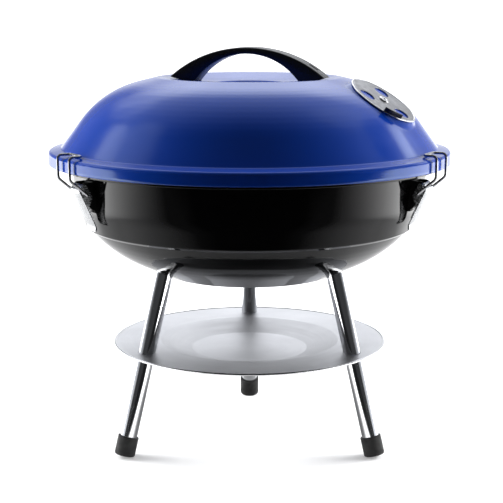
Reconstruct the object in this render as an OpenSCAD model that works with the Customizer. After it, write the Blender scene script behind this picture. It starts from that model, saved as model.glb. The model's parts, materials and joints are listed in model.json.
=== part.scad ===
// Portable tabletop charcoal grill: domed lid, bowl on three tube legs, ash catcher
// and three draw latches. Origin on the grill's axis at ground level, +Z up, front at -Y.

/* [Lid] */
// Outside diameter of the lid rim
lid_d = 360; // [356:1:364]
// Height of the lid from its rim edge to the crest ring
lid_h = 73.5; // [72:0.5:75]
// Diameter of the raised crest ring around the sunken crown
crest_d = 164; // [160:1:168]
// Thickness of the enamelled steel sheet
sheet = 1.2; // [1:0.1:1.3]

/* [Bowl] */
// Height of the bowl's flat bottom above the ground
bowl_z = 157; // [154:1:160]
// Height of the lid rim's lower edge above the bowl's bottom
bowl_h = 103; // [102.5:0.5:104]
// Diameter of the bowl's flat bottom
bottom_d = 156; // [150:1:158]

/* [Handle] */
// Direction of the handle, turned about the vertical axis
handle_turn = -15; // [-30:1:30]
// Overall length of the handle
handle_l = 142; // [140:1:144]
// Width of the handle
handle_w = 24; // [22:1:26]
// Height of the handle above the crest ring
handle_rise = 25.9; // [25:0.1:27]

/* [Vents] */
// Diameter of a vent damper disc
damper_d = 64; // [62:1:65]
// Diameter of each vent hole
vent_hole_d = 14.5; // [12:0.5:15]
// Direction of the lid vent, turned about the vertical axis
vent_turn = -26; // [-50:1:0]
// Distance of the lid vent from the grill's axis
vent_r = 128; // [127.5:0.5:128.5]
// Slope of the lid vent's flat pad
vent_tilt = 33; // [32.5:0.5:33.5]

/* [Legs] */
// Outside diameter of a leg tube
leg_d = 15; // [14:0.5:16]
// Distance of a leg from the grill's axis where it meets the bowl
leg_top_r = 87.5; // [87:0.5:89]
// Distance of a foot from the grill's axis
leg_foot_r = 128.8; // [127:0.5:130]
// Wall thickness of a leg tube
leg_wall = 1.2; // [1:0.1:1.5]

/* [Ash catcher] */
// Outside diameter of the ash catcher
ash_d = 249.4; // [248:0.2:252]
// Height of the ash catcher's rim above the ground
ash_z = 93.5; // [90:0.5:96]

/* [Latches] */
// Turn of the ring of latches against the ring of legs
latch_turn = 2; // [0:1:6]
// Width of a latch bail, between the middles of its two side wires
bail_w = 23.4; // [23.4:0.1:25]
// Wire thickness of a bail
wire_d = 2.4; // [2:0.1:2.5]

/* [Hidden] */
$fn = 96;

// Angle between neighbouring points on a rounded corner
arc_step = 5;
// Radial gap of a running fit, and gap between pieces that touch
fit = 0.05;
// Radial gap round a screw in a hole that it only passes through
hole_gap = 0.3;

// Directions of the three legs and latches about the axis
LEFT = -150;
RIGHT = -30;
REAR = 90;
SIDES = [LEFT, RIGHT, REAR];

lid_r = lid_d / 2;
rim_z = bowl_z + bowl_h;
crest_z = rim_z + lid_h;
dish_z = crest_z - 6.9;
top_z = crest_z + handle_rise;

// ---------- outlines ----------

function unit(v) = v / norm(v);
function right_of(v) = [v.y, -v.x];
function half_turn(a) = a > 180 ? a - 360 : a < -180 ? a + 360 : a;
function reversed(p) = [for (i = [len(p) - 1:-1:0]) p[i]];

// Arc of radius r that rounds the corner b between the lines b-a and b-c
function round_corner(a, b, c, r) =
    let (u = unit(a - b), v = unit(c - b), half = acos(u * v) / 2)
    let (mid = b + unit(u + v) * r / sin(half))
    let (p = b + u * r / tan(half) - mid, q = b + v * r / tan(half) - mid)
    let (from = atan2(p.y, p.x), sweep = half_turn(atan2(q.y, q.x) - from))
    let (steps = max(2, ceil(abs(sweep) / arc_step)))
    [for (k = [0:steps]) mid + r * [cos(from + sweep * k / steps), sin(from + sweep * k / steps)]];

// Line through corners [x, y, rounding radius]; a radius of 0 leaves the corner sharp
function outline(c) = [
    for (i = [0:len(c) - 1])
        let (p = [c[i].x, c[i].y])
        each c[i].z == 0 ? [p]
            : round_corner([c[i - 1].x, c[i - 1].y], p, [c[i + 1].x, c[i + 1].y], c[i].z)
];

// The line p moved sideways by t, to the left of its direction
function moved(p, t) = [
    for (i = [0:len(p) - 1])
        let (before = unit(p[max(i, 1)] - p[max(i, 1) - 1]))
        let (after = unit(p[min(i + 1, len(p) - 1)] - p[min(i, len(p) - 2)]))
        let (out = unit(right_of(before) + right_of(after)))
        p[i] - out * t / (out * right_of(before))
];

// Closed outline of a sheet of thickness t, lying to the left of the line p
function sheet_of(p, t) = concat(p, reversed(moved(p, t)));

// ---------- shapes that repeat ----------

module at(angle) {
    rotate([0, 0, angle]) children();
}

module bar(a, b, r, extra = 0) {
    d = b - a;
    translate(a)
        rotate([0, acos(d.z / norm(d)), atan2(d.y, d.x)])
            translate([0, 0, -extra])
                cylinder(r = r, h = norm(d) + 2 * extra, $fn = 32);
}

module ring(r, wire) {
    rotate_extrude()
        translate([r, 0]) circle(r = wire, $fn = 32);
}

// Plate lying in the plane through the axis, between y0 and y1
module side_plate(points, y0, y1) {
    translate([0, y1, 0])
        rotate([90, 0, 0])
            linear_extrude(y1 - y0) polygon(points);
}

// ---------- lid ----------

vent_hole_ring = 19.5;
vent_rivet_r = 2.4;
// Radius of the vent's flat pad, hidden under the damper disc that overhangs it
pad_r = damper_d / 2 - 2;
// Depth of the pad's face below the lid's shoulder at the pad's middle
pad_depth = 1.7;
handle_foot_x = 60;
handle_screw_r = 2.5;

function lid_line() = outline([
    [lid_r, rim_z, 0],
    [lid_r, rim_z + 9.3, 3],
    [lid_r - 11.5, rim_z + 11.8, 2],
    [lid_r - 47.5, crest_z - 12.5, 90],
    [crest_d / 2, crest_z, 14],
    [50, crest_z - 5, 25],
    [33.5, crest_z - 5.6, 1],
    [32, dish_z, 1],
    [0, dish_z, 0]
]);

// Solid under the lid's outer skin, moved inwards by t
module under_lid(t) {
    line = moved(lid_line(), t);
    rotate_extrude($fn = 240)
        polygon(concat([[0, rim_z - 1]], [[line[0].x, rim_z - 1]], line));
}

// Height of the lid's skin on its shoulder arc, at the vent
shoulder_z = crest_z - 16.4;

// Carries children to the vent pad: its face is z = 0, and +X points down the slope
module at_lid_vent() {
    at(vent_turn)
        translate([vent_r, 0, shoulder_z])
            rotate([0, vent_tilt, 0])
                translate([0, 0, -pad_depth]) children();
}

module vent_holes(turn) {
    for (k = [0:2])
        rotate([0, 0, turn + 120 * k])
            translate([vent_hole_ring, 0, -5]) cylinder(d = vent_hole_d, h = 10);
}

module lid() {
    color("mediumblue")
        difference() {
            under_lid_with_pad(0, pad_r, 0);
            under_lid_with_pad(sheet, pad_r - sheet, -sheet);
            at_lid_vent() {
                vent_holes(60);
                translate([0, 0, -5]) cylinder(r = vent_rivet_r + fit, h = 10, $fn = 32);
            }
            at(handle_turn)
                for (x = [-handle_foot_x, handle_foot_x])
                    translate([x, 0, crest_z - 20])
                        cylinder(r = handle_screw_r + hole_gap, h = 30, $fn = 32);
        }
}

// Solid under the lid with the vent's round pad raised on it, flat at height face
module under_lid_with_pad(t, r, face) {
    difference() {
        union() {
            under_lid(t);
            at_lid_vent()
                translate([0, 0, face - 12]) cylinder(r = r, h = 12);
        }
        at_lid_vent()
            translate([0, 0, face]) cylinder(r = r, h = 12);
    }
}

// ---------- lid handle ----------

handle_arch_r = 109;
handle_grip_t = 5.6;

module arch_disc(r, top, w) {
    translate([0, w / 2, top - r])
        rotate([90, 0, 0]) cylinder(r = r, h = w, $fn = 180);
}

module lid_handle() {
    inner_r = 59;
    color("#1c1c1c")
        at(handle_turn)
            difference() {
                intersection() {
                    arch_disc(handle_arch_r, top_z, handle_w);
                    translate([-handle_l / 2, -handle_w / 2, dish_z - 4])
                        cube([handle_l, handle_w, top_z - dish_z + 5]);
                }
                arch_disc(inner_r, top_z - handle_grip_t, handle_w + 2);
                translate([-inner_r + 10, -handle_w, dish_z - 10])
                    cube([2 * inner_r - 20, 2 * handle_w, 15]);
                translate([0, 0, fit]) under_lid(0);
                for (y = [-5, 5])
                    translate([0, y + 0.4, top_z - handle_arch_r])
                        rotate([90, 0, 0])
                            rotate_extrude($fn = 180)
                                translate([handle_arch_r - 0.4, 0]) square([2, 0.8]);
                for (x = [-handle_foot_x, handle_foot_x])
                    translate([x, 0, 0]) {
                        translate([-4.5, -2.5, top_z - 21]) cube([9, 5, 20]);
                        translate([0, 0, dish_z]) cylinder(r = handle_screw_r + fit, h = 11, $fn = 32);
                    }
            }
}

module lid_handle_screws() {
    color("silver")
        at(handle_turn)
            for (x = [-handle_foot_x, handle_foot_x])
                translate([x, 0, crest_z - 10]) {
                    cylinder(r = handle_screw_r, h = 12.5, $fn = 32);
                    translate([0, 0, -3]) cylinder(r = 4.5, h = 3, $fn = 48);
                }
}

module lid_handle_washers() {
    color("silver")
        at(handle_turn)
            for (x = [-handle_foot_x, handle_foot_x])
                intersection() {
                    translate([x, 0, crest_z - 10 + fit])
                        difference() {
                            cylinder(r = 6, h = 9, $fn = 48);
                            translate([0, 0, -1]) cylinder(r = handle_screw_r + fit, h = 11, $fn = 32);
                        }
                    translate([0, 0, -fit]) under_lid(sheet);
                }
}

// ---------- vent dampers ----------

tab_angle = -50;
tab_w = 18;
tab_h = 5;
damper_t = 1;

// Damper disc lying on z = 0 with its finger tab bent up
module damper() {
    difference() {
        union() {
            translate([0, 0, fit]) cylinder(d = damper_d, h = damper_t);
            rotate([0, 0, tab_angle])
                translate([damper_d / 2 - 2.4, -tab_w / 2, fit]) cube([damper_t, tab_w, tab_h]);
        }
        vent_holes(0);
        translate([0, 0, -1]) cylinder(r = vent_rivet_r + fit, h = 4, $fn = 32);
    }
}

// Rivet through a damper on z = 0 and the sheet below it
module vent_rivet() {
    translate([0, 0, -sheet - 2 * fit]) cylinder(r = vent_rivet_r, h = sheet + damper_t + 4 * fit, $fn = 32);
    translate([0, 0, damper_t + 2 * fit]) cylinder(r = 4.6, h = 1.4, $fn = 48);
    translate([0, 0, -sheet - fit - 1.2]) cylinder(r = 4.6, h = 1.2, $fn = 48);
}

module lid_vent_damper() {
    color("silver") at_lid_vent() damper();
}

module lid_vent_rivet() {
    color("lightgray") at_lid_vent() vent_rivet();
}

module at_bowl_vent() {
    translate([0, 0, bowl_z]) rotate([180, 0, 0]) children();
}

module bowl_vent_damper() {
    color("silver") at_bowl_vent() damper();
}

module bowl_vent_rivet() {
    color("lightgray") at_bowl_vent() vent_rivet();
}

// ---------- bowl ----------

bowl_rim_r = lid_r - 7.6;
grate_ledge_z = rim_z - 0.8;
coal_ledge_z = bowl_z + 45.4;

function bowl_line() = outline([
    [0, bowl_z, 0],
    [bottom_d / 2, bowl_z, 7],
    [lid_r - 52.8, bowl_z + 23.2, 118],
    [lid_r - 35, bowl_z + 43.2, 1],
    [lid_r - 31.5, coal_ledge_z, 1.5],
    [lid_r - 25.2, bowl_z + 64, 45],
    [lid_r - 19.2, rim_z - 2.4, 1],
    [lid_r - 13.8, grate_ledge_z - sheet, 1.2],
    [lid_r - 13.2, rim_z + 9.4, 1.3],
    [bowl_rim_r - sheet, rim_z + 8.6, 1],
    [bowl_rim_r - sheet, rim_z - 4, 0]
]);

// Solid inside the bowl's outer skin, moved inwards by t
module in_bowl(t) {
    line = moved(bowl_line(), t);
    wall = [for (p = line) if (p.x < lid_r - 12 && p.y < rim_z + 8) p];
    rotate_extrude($fn = 360)
        polygon(concat([[0, line[0].y]], wall, [[wall[len(wall) - 1].x, rim_z + 7], [0, rim_z + 7]]));
}

module leg_axis_cylinder(side, r, from, to) {
    at(side)
        translate([leg_top_r, 0, leg_top_z])
            rotate([0, leg_lean, 0])
                translate([0, 0, -to]) cylinder(r = r, h = to - from, $fn = 64);
}

module bowl() {
    color("#101010")
        difference() {
            rotate_extrude() polygon(sheet_of(bowl_line(), sheet));
            for (side = SIDES) leg_axis_cylinder(side, leg_bolt_r + hole_gap, -20, 20);
            at_bowl_vent() {
                vent_holes(60);
                translate([0, 0, -5]) cylinder(r = vent_rivet_r + fit, h = 10, $fn = 32);
            }
            for (side = SIDES) at(side + latch_turn) latch_rivet_holes();
        }
}

// ---------- grates ----------

// Round grate resting on z: a flat hoop, parallel rods and two cross strips under them
module grate(r, z, hoop, rod_r, pitch) {
    translate([0, 0, z + fit]) {
        rotate_extrude()
            translate([r - hoop, 0]) square([hoop, 2 * hoop - 1]);
        for (x = [-floor((r - hoop) / pitch) * pitch:pitch:r - hoop]) {
            reach = sqrt((r - hoop / 2) * (r - hoop / 2) - x * x);
            bar([x, -reach, hoop + 0.5], [x, reach, hoop + 0.5], rod_r);
        }
        for (y = [-r / 2, r / 2]) {
            reach = sqrt((r - hoop / 2) * (r - hoop / 2) - y * y);
            translate([-reach, y - hoop / 2, 0.2]) cube([2 * reach, hoop, hoop]);
        }
    }
}

// The coal grate's hoop sits where the bowl's inner skin has this radius
coal_grate_r = lid_r - 35.6;
coal_grate_z = coal_ledge_z + 1;

module cooking_grate() {
    color("silver") grate(lid_r - 16, grate_ledge_z, 2.5, 1.6, 13);
}

module charcoal_grate() {
    color("dimgray") grate(coal_grate_r, coal_grate_z, 3, 2.2, 22);
}

// ---------- legs ----------

leg_top_z = bowl_z + 3;
cap_z = 1.7;
leg_lean = -atan((leg_foot_r - leg_top_r) / (leg_top_z - cap_z));
leg_len = norm([leg_foot_r - leg_top_r, leg_top_z - cap_z]);
leg_r = leg_d / 2;
cap_wall = 1.7;
cap_floor = 2.5;
cap_len = 17.5;
leg_bolt_r = 3;
plug_len = 22;

module leg(side) {
    nib_z = ash_z - 2.6;
    nib_at = leg_top_r + (leg_top_z - nib_z) * tan(-leg_lean);
    color("gainsboro")
        difference() {
            union() {
                leg_axis_cylinder(side, leg_r, -12, leg_len - cap_floor - fit);
                at(side)
                    bar([nib_at, 0, nib_z], [nib_at - leg_r - 1.3, 0, nib_z - 2], 1.6);
            }
            leg_axis_cylinder(side, leg_r - leg_wall, -20, leg_len + 1);
            translate([0, 0, -fit]) in_bowl(0);
        }
}

module leg_front_left() {
    leg(LEFT);
}

module leg_front_right() {
    leg(RIGHT);
}

module leg_rear() {
    leg(REAR);
}

module foot_cap(side) {
    color("#202020")
        difference() {
            leg_axis_cylinder(side, leg_r + cap_wall, leg_len - cap_len, leg_len);
            leg_axis_cylinder(side, leg_r + fit, leg_len - cap_len - 1, leg_len - cap_floor);
            translate([-lid_r, -lid_r, -10]) cube([lid_d, lid_d, 10]);
        }
}

module foot_cap_front_left() {
    foot_cap(LEFT);
}

module foot_cap_front_right() {
    foot_cap(RIGHT);
}

module foot_cap_rear() {
    foot_cap(REAR);
}

module leg_plugs() {
    color("gray")
        for (side = SIDES)
            difference() {
                leg_axis_cylinder(side, leg_r - leg_wall - fit, -12, plug_len);
                leg_axis_cylinder(side, leg_bolt_r + fit, -20, plug_len + 1);
                translate([0, 0, -fit]) in_bowl(0);
            }
}

module leg_bolts() {
    color("silver")
        for (side = SIDES) {
            leg_axis_cylinder(side, leg_bolt_r, -8, plug_len - 5);
            leg_axis_cylinder(side, 5.5, -12, -8);
        }
}

module leg_washers() {
    color("silver")
        for (side = SIDES)
            intersection() {
                difference() {
                    leg_axis_cylinder(side, 7, -8 + fit, 4);
                    leg_axis_cylinder(side, leg_bolt_r + fit, -20, 20);
                }
                translate([0, 0, fit]) in_bowl(sheet);
            }
}

// ---------- ash catcher ----------

module ash_catcher() {
    ash_r = ash_d / 2;
    color("lightgray")
        difference() {
            union() {
                rotate_extrude()
                    polygon(sheet_of(outline([
                        [0, ash_z - 10, 0],
                        [53, ash_z - 10, 6],
                        [82, ash_z - 1.4, 8],
                        [ash_r - 1, ash_z - 1.4, 0]
                    ]), 0.8));
                translate([0, 0, ash_z - 1]) ring(ash_r - 1, 1);
            }
            for (side = SIDES) leg_axis_cylinder(side, leg_r + 0.4, 20, leg_len);
        }
}

// ---------- latches ----------

pivot = [lid_r - 12, rim_z - 14];
bail_pivot = [lid_r - 14, rim_z - 20.5];
ear_y = 7.5;
cheek_y = 9;
pin_r = 1.8;
rivet_r = 1.5;
rivet_heights = [rim_z - 31, rim_z - 17];

module at_latch(side) {
    at(side + latch_turn) children();
}

// Cylinder lying across a latch, from y0 to y1
module cross_cylinder(p, r, y0, y1) {
    translate([p.x, y1, p.y])
        rotate([90, 0, 0]) cylinder(r = r, h = y1 - y0, $fn = 32);
}

module latch_rivet_holes() {
    for (z = rivet_heights)
        translate([lid_r - 40, 0, z])
            rotate([0, 90, 0]) cylinder(r = rivet_r + fit, h = 30, $fn = 32);
}

// Ends of the bracket's outer face
plate_foot = [lid_r - 22, rim_z - 36];
plate_head = [lid_r - 18, rim_z - 9.5];

module latch_bracket(side) {
    color("#181818")
        at_latch(side)
            difference() {
                union() {
                    side_plate([
                        [lid_r - 26, rim_z - 36], plate_foot, plate_head, [lid_r - 26, rim_z - 9.5]
                    ], -ear_y, ear_y);
                    for (s = [-1, 1])
                        side_plate([
                            [lid_r - 24, rim_z - 34], [lid_r - 18, rim_z - 31],
                            [lid_r - 9.5, rim_z - 18], [lid_r - 8.5, rim_z - 13],
                            [lid_r - 11, rim_z - 10], [lid_r - 22, rim_z - 9.5]
                        ], s * (ear_y - 0.6) - 0.6, s * (ear_y - 0.6) + 0.6);
                }
                in_bowl(-fit);
                cross_cylinder(pivot, pin_r + fit, -20, 20);
                latch_rivet_holes();
            }
}

module latch_bracket_left() {
    latch_bracket(LEFT);
}

module latch_bracket_right() {
    latch_bracket(RIGHT);
}

module latch_bracket_rear() {
    latch_bracket(REAR);
}

lever_top = [lid_r - 6.3, rim_z - 16];
lever_tip = [lid_r - 23, rim_z - 51];

module latch_lever(side) {
    down = unit(lever_tip - lever_top);
    in = right_of(down);
    color("silver")
        at_latch(side)
            difference() {
                union() {
                    side_plate([
                        lever_top, lever_tip, lever_tip + 1.2 * in, lever_top + 1.2 * in
                    ], -cheek_y, cheek_y);
                    cross_cylinder(lever_tip + 0.6 * in, 1.6, -cheek_y, cheek_y);
                    for (s = [-1, 1])
                        side_plate([
                            lever_top, lever_top + 19 * down, lever_top + 19 * down + 3.5 * in,
                            bail_pivot + [-3.2, -1.2], bail_pivot + [-2.6, 4],
                            pivot + [-3.4, 2], pivot + [0, 3.8]
                        ], s * (cheek_y - 0.6) - 0.6, s * (cheek_y - 0.6) + 0.6);
                }
                cross_cylinder(pivot, pin_r + fit, -20, 20);
                cross_cylinder(bail_pivot, wire_d / 2 + fit, -20, 20);
            }
}

module latch_lever_left() {
    latch_lever(LEFT);
}

module latch_lever_right() {
    latch_lever(RIGHT);
}

module latch_lever_rear() {
    latch_lever(REAR);
}

// Corners of one side of the bail, from its pivot up over the lid's rim to its cross bar
bail_line = [
    bail_pivot,
    [lid_r + 2.4, rim_z - 6.5],
    [lid_r + 2.4, rim_z + 11],
    [lid_r + 0.5, rim_z + 12.9],
    [lid_r - 9, rim_z + 12.9]
];

module latch_bail(side) {
    last = len(bail_line) - 1;
    color("#b0b0b0")
        at_latch(side)
            for (s = [-1, 1]) {
                y = s * bail_w / 2;
                for (i = [0:last - 1])
                    bar(
                        [bail_line[i].x, y, bail_line[i].y],
                        [bail_line[i + 1].x, y, bail_line[i + 1].y], wire_d / 2);
                for (p = bail_line)
                    translate([p.x, y, p.y]) sphere(r = wire_d / 2 + 0.04, $fn = 32);
                bar([bail_pivot.x, y, bail_pivot.y], [bail_pivot.x, s * 7.7, bail_pivot.y], wire_d / 2);
                bar([bail_line[last].x, y, bail_line[last].y],
                    [bail_line[last].x, 0, bail_line[last].y], wire_d / 2, 0.01);
            }
}

module latch_bail_left() {
    latch_bail(LEFT);
}

module latch_bail_right() {
    latch_bail(RIGHT);
}

module latch_bail_rear() {
    latch_bail(REAR);
}

module latch_pins() {
    color("silver")
        for (side = SIDES)
            at_latch(side) {
                cross_cylinder(pivot, pin_r, -cheek_y - 0.2, cheek_y + 0.2);
                for (s = [-1, 1])
                    cross_cylinder(pivot, 2.6, s * (cheek_y + 0.6) - 0.5, s * (cheek_y + 0.6) + 0.5);
            }
}

module rivet_part(x, z, r, h) {
    translate([x, 0, z]) rotate([0, 90, 0]) cylinder(r = r, h = h, $fn = 32);
}

module latch_rivets() {
    color("silver")
        for (side = SIDES)
            at_latch(side)
                for (z = rivet_heights) {
                    face = lookup(z, [[plate_foot.y, plate_foot.x], [plate_head.y, plate_head.x]]);
                    rivet_part(face + 0.8, z, 3, 1.2);
                    rivet_part(face - 8.2, z, rivet_r, 10);
                    rivet_part(face - 9.2, z, 2.8, 1.6);
                }
}

lid();
lid_handle();
lid_handle_screws();
lid_handle_washers();
lid_vent_damper();
lid_vent_rivet();
bowl();
bowl_vent_damper();
bowl_vent_rivet();
cooking_grate();
charcoal_grate();
leg_front_left();
leg_front_right();
leg_rear();
foot_cap_front_left();
foot_cap_front_right();
foot_cap_rear();
leg_plugs();
leg_bolts();
leg_washers();
ash_catcher();
latch_bracket_left();
latch_bracket_right();
latch_bracket_rear();
latch_lever_left();
latch_lever_right();
latch_lever_rear();
latch_bail_left();
latch_bail_right();
latch_bail_rear();
latch_pins();
latch_rivets();
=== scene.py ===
import json
import math

import bmesh
import bpy
from mathutils import Matrix, Vector


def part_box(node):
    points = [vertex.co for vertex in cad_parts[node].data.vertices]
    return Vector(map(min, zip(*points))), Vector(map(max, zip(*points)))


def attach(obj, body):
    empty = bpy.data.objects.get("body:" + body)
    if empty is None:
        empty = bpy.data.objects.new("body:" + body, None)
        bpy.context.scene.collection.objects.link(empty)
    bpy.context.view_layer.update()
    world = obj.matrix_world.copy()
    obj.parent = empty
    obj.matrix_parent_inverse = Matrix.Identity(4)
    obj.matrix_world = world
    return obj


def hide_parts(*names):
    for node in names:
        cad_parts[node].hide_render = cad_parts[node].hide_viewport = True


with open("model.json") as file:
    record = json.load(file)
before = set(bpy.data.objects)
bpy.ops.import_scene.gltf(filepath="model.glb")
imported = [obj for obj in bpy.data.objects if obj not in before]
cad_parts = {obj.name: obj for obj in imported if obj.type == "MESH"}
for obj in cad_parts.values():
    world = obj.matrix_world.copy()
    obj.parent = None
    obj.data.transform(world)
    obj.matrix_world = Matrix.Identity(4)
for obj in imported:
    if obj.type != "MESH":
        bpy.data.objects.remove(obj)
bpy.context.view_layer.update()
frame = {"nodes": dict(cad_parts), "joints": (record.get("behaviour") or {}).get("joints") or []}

# ---------- sizes, in millimetres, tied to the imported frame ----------

MM = 0.001


def low(node):
    return [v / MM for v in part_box(node)[0]]


def high(node):
    return [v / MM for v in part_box(node)[1]]


# The lid's edge hangs a little below the rim, and its crest is rounded off below its sharp corner.
LID_R = high("lid")[0]
LID_SKIRT = 1.0
RIM_Z = low("lid")[2] + LID_SKIRT
CREST_ROUNDING = 0.26
CREST_Z = high("lid")[2] + CREST_ROUNDING
TOP_Z = high("lid_handle")[2]
BOWL_Z = low("bowl")[2]
ASH_R = high("ash_catcher")[0]
ASH_Z = high("ash_catcher")[2]
SHEET = 1.2
TOUCH_GAP = 0.05
HANDLE_TURN = -15.0
LATCH_TURN = 2.0
SIDES = {"left": -150.0, "right": -30.0, "rear": 90.0}
LEGS = {"front_left": -150.0, "front_right": -30.0, "rear": 90.0}
LEG_R = 7.5
LEG_TOP = (87.5, BOWL_Z + 3.0)
LEG_FOOT = (128.8, 1.7)
LEG_LEAN = math.atan2(LEG_FOOT[0] - LEG_TOP[0], LEG_TOP[1] - LEG_FOOT[1])
LEG_LENGTH = math.hypot(LEG_FOOT[0] - LEG_TOP[0], LEG_TOP[1] - LEG_FOOT[1])
DAMPER_R = 32.0
JOINTS = {j["name"]: j for j in frame["joints"]}


# ---------- outlines ----------

def rounded(corners, step=4.0):
    """Points of a line through corners (x, y, radius), with an arc at each corner of radius > 0."""
    points = []
    for i, (x, y, radius) in enumerate(corners):
        here = Vector((x, y))
        if radius == 0:
            points.append(here)
            continue
        back = (Vector(corners[i - 1][:2]) - here).normalized()
        ahead = (Vector(corners[i + 1][:2]) - here).normalized()
        half = math.acos(max(-1.0, min(1.0, back.dot(ahead)))) / 2
        centre = here + (back + ahead).normalized() * radius / math.sin(half)
        start = here + back * radius / math.tan(half) - centre
        end = here + ahead * radius / math.tan(half) - centre
        first = math.atan2(start.y, start.x)
        sweep = math.atan2(end.y, end.x) - first
        sweep = (sweep + math.pi) % (2 * math.pi) - math.pi
        count = max(3, math.ceil(abs(math.degrees(sweep)) / step))
        for k in range(count + 1):
            a = first + sweep * k / count
            points.append(centre + radius * Vector((math.cos(a), math.sin(a))))
    return points


def subdivided(points, longest):
    """The same line with no stretch longer than longest."""
    out = [points[0]]
    for a, b in zip(points, points[1:]):
        pieces = max(1, math.ceil((b - a).length / longest))
        out += [a.lerp(b, (k + 1) / pieces) for k in range(pieces)]
    return out


def beside(points, distance):
    """The line moved to the left of its direction by distance."""
    out = []
    last = len(points) - 1
    for i, p in enumerate(points):
        before = (points[max(i, 1)] - points[max(i, 1) - 1]).normalized()
        after = (points[min(i + 1, last)] - points[min(i, last - 1)]).normalized()
        left = Vector((-before.y - after.y, before.x + after.x)).normalized()
        out.append(p + left * distance / max(0.3, left.dot(Vector((-before.y, before.x)))))
    return out


def edge_arc(a, b, bulge, count=5):
    """Half circle from a to b that bulges towards bulge, without its ends."""
    mid = (a + b) / 2
    side = a - mid
    return [
        mid + side * math.cos(math.pi * k / count) + bulge * side.length * math.sin(math.pi * k / count)
        for k in range(1, count)
    ]


# ---------- meshes ----------

def shade(bm, sharp):
    """Smooth shading that breaks at edges over the given angle."""
    for f in bm.faces:
        f.smooth = True
    for e in bm.edges:
        if len(e.link_faces) == 2:
            e.smooth = e.calc_face_angle(0.0) < math.radians(sharp)


def make_object(name, bm, material, sharp=38.0):
    """Turns a bmesh in millimetres into a smooth-shaded object, sharp at edges over the given angle."""
    bmesh.ops.remove_doubles(bm, verts=bm.verts, dist=1e-4)
    bmesh.ops.dissolve_degenerate(bm, edges=bm.edges, dist=1e-5)
    bmesh.ops.recalc_face_normals(bm, faces=bm.faces)
    bmesh.ops.scale(bm, vec=(MM, MM, MM), verts=bm.verts)
    mesh = bpy.data.meshes.new(name)
    shade(bm, sharp)
    bm.to_mesh(mesh)
    bm.free()
    obj = bpy.data.objects.new(name, mesh)
    bpy.context.collection.objects.link(obj)
    if material:
        mesh.materials.append(material)
    return obj


def grid(bm, rows, wrap_rows=False, wrap_columns=True):
    """Skins rows of points, each row a ring of equal count."""
    verts = [[bm.verts.new(p) for p in row] for row in rows]
    n, m = len(verts), len(verts[0])
    for i in range(n if wrap_rows else n - 1):
        for j in range(m if wrap_columns else m - 1):
            a, b = verts[i], verts[(i + 1) % n]
            bm.faces.new((a[j], a[(j + 1) % m], b[(j + 1) % m], b[j]))
    return verts


def lathe(bm, profile, angles, closed=False, place=None):
    """Turns a profile of (radius, height) about Z, then moves it by the matrix place."""
    rows = [
        [Vector((p[0] * math.cos(a), p[0] * math.sin(a), p[1])) for a in angles]
        for p in profile
    ]
    if place:
        rows = [[place @ v for v in row] for row in rows]
    grid(bm, rows, wrap_rows=closed)


def even(count):
    """Angles that divide a full turn evenly."""
    return [2 * math.pi * k / count for k in range(count)]


def sweep(bm, path, radius, sides=16, closed=False):
    """Round wire along a path of 3-D points."""
    count = len(path)
    rows = []
    normal = None
    for i, p in enumerate(path):
        if closed:
            tangent = (path[(i + 1) % count] - path[i - 1]).normalized()
        else:
            tangent = (path[min(i + 1, count - 1)] - path[max(i - 1, 0)]).normalized()
        if normal is None:
            normal = tangent.orthogonal().normalized()
        normal = (normal - tangent * normal.dot(tangent)).normalized()
        other = tangent.cross(normal)
        rows.append([p + radius * (normal * math.cos(a) + other * math.sin(a)) for a in even(sides)])
    if closed:
        grid(bm, rows, wrap_rows=True)
        return
    ends = []
    for row, p, sign in ((rows[0], path[0], -1), (rows[-1], path[-1], 1)):
        direction = (path[-1] - path[-2] if sign > 0 else path[0] - path[1]).normalized()
        rings = []
        for lift, shrink in ((0.45, 0.88), (0.8, 0.55), (0.92, 0.01)):
            rings.append([p + (v - p) * shrink + direction * radius * 0.5 * lift for v in row])
        ends.append(rings)
    grid(bm, ends[0][::-1] + rows + ends[1])


def plate(bm, points, y0, y1):
    """Flat plate with an (x, z) outline between y0 and y1."""
    front = [bm.verts.new((p[0], y0, p[1])) for p in points]
    back = [bm.verts.new((p[0], y1, p[1])) for p in points]
    n = len(points)
    bm.faces.new(front)
    bm.faces.new(back[::-1])
    for i in range(n):
        bm.faces.new((front[i], back[i], back[(i + 1) % n], front[(i + 1) % n]))


def cylinder(bm, start, end, radius, sides=32):
    """Plain cylinder between two points."""
    axis = Vector(end) - Vector(start)
    place = Matrix.Translation(start) @ axis.to_track_quat("Z", "Y").to_matrix().to_4x4()
    h = axis.length
    lathe(bm, [(0, 0), (radius, 0), (radius, h), (0, h)], even(sides), place=place)


def applied(obj):
    """Bakes an object's modifiers into its mesh."""
    graph = bpy.context.evaluated_depsgraph_get()
    mesh = bpy.data.meshes.new_from_object(obj.evaluated_get(graph))
    obj.modifiers.clear()
    old = obj.data
    obj.data = mesh
    bpy.data.meshes.remove(old)


def cut_with(obj, cutter, operation="DIFFERENCE", sharp=38.0):
    """Cuts an object with another one, or joins it with UNION, and removes the other one."""
    modifier = obj.modifiers.new("cut", "BOOLEAN")
    modifier.operation = operation
    modifier.solver = "EXACT"
    modifier.object = cutter
    applied(obj)
    bpy.data.objects.remove(cutter)
    bm = bmesh.new()
    bm.from_mesh(obj.data)
    shade(bm, sharp)
    bm.to_mesh(obj.data)
    bm.free()


def add_bevel(obj, width, angle):
    """Modifier that rounds the edges sharper than angle by width millimetres."""
    modifier = obj.modifiers.new("edge", "BEVEL")
    modifier.width = width * MM
    modifier.segments = 2
    modifier.limit_method = "ANGLE"
    modifier.angle_limit = math.radians(angle)


def moved(obj, matrix):
    obj.data.transform(matrix)
    return obj


def turned(angle):
    """Matrix that turns about the vertical axis, by degrees."""
    return Matrix.Rotation(math.radians(angle), 4, "Z")


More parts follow.
